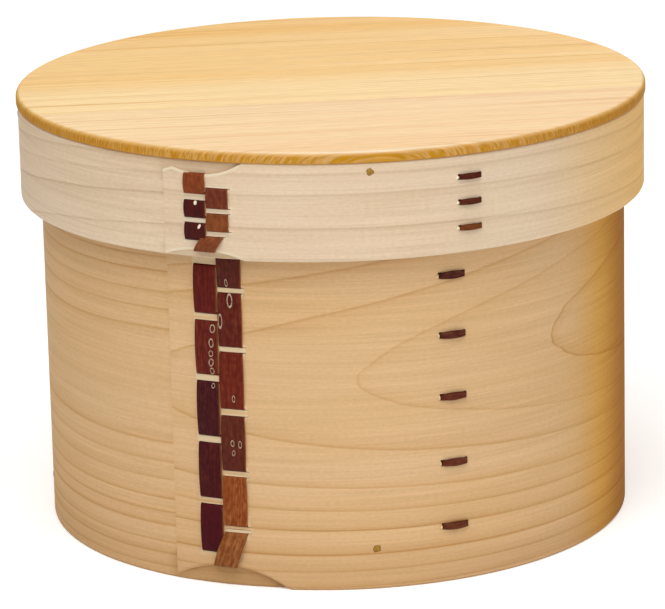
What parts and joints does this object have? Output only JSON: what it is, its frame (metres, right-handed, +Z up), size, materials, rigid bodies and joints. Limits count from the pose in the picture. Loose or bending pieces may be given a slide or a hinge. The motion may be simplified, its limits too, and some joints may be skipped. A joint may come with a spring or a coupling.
{
  "type": "bentwood rice container",
  "caption": "Round bentwood tub with a drop-over lid, lapped walls sewn with bark and plates let in with pegs, for keeping cooked rice.",
  "frame": {"origin": "centre of the foot ring, on the table that the tub stands on", "axes": "+Z up along the tub's axis, -Y towards the front, with the bark lacing left of the front"},
  "size_m": [0.21, 0.21, 0.146],
  "materials": {
    "body_wood": "planed softwood, flat-sawn, unfinished",
    "bottom_wood": "planed softwood, straight-grained, unfinished",
    "band_wood": "planed softwood, flat-sawn, unfinished",
    "lid_wood": "planed softwood, straight-grained, unfinished",
    "bark": "polished cherry bark, satin",
    "peg_wood": "whittled bamboo, cut flush"
  },
  "bodies": {
    "tub": {"body_hoop": "body_wood", "bottom_board_front": "bottom_wood", "bottom_board_back": "bottom_wood", "bottom_dowels": "peg_wood", "bottom_pegs": "peg_wood", "body_lacing": "bark", "body_tacking": "bark"},
    "lid": {"lid_band": "band_wood", "lid_board_front": "lid_wood", "lid_board_back": "lid_wood", "lid_dowels": "peg_wood", "lid_pegs": "peg_wood", "lid_lacing": "bark", "lid_tacking": "bark"}
  },
  "joints": [
    {"name": "lid_lift", "type": "slide", "parent": "tub", "child": "lid", "axis": [0, 0, 1], "range_m": [0, 0.12]}
  ]
}
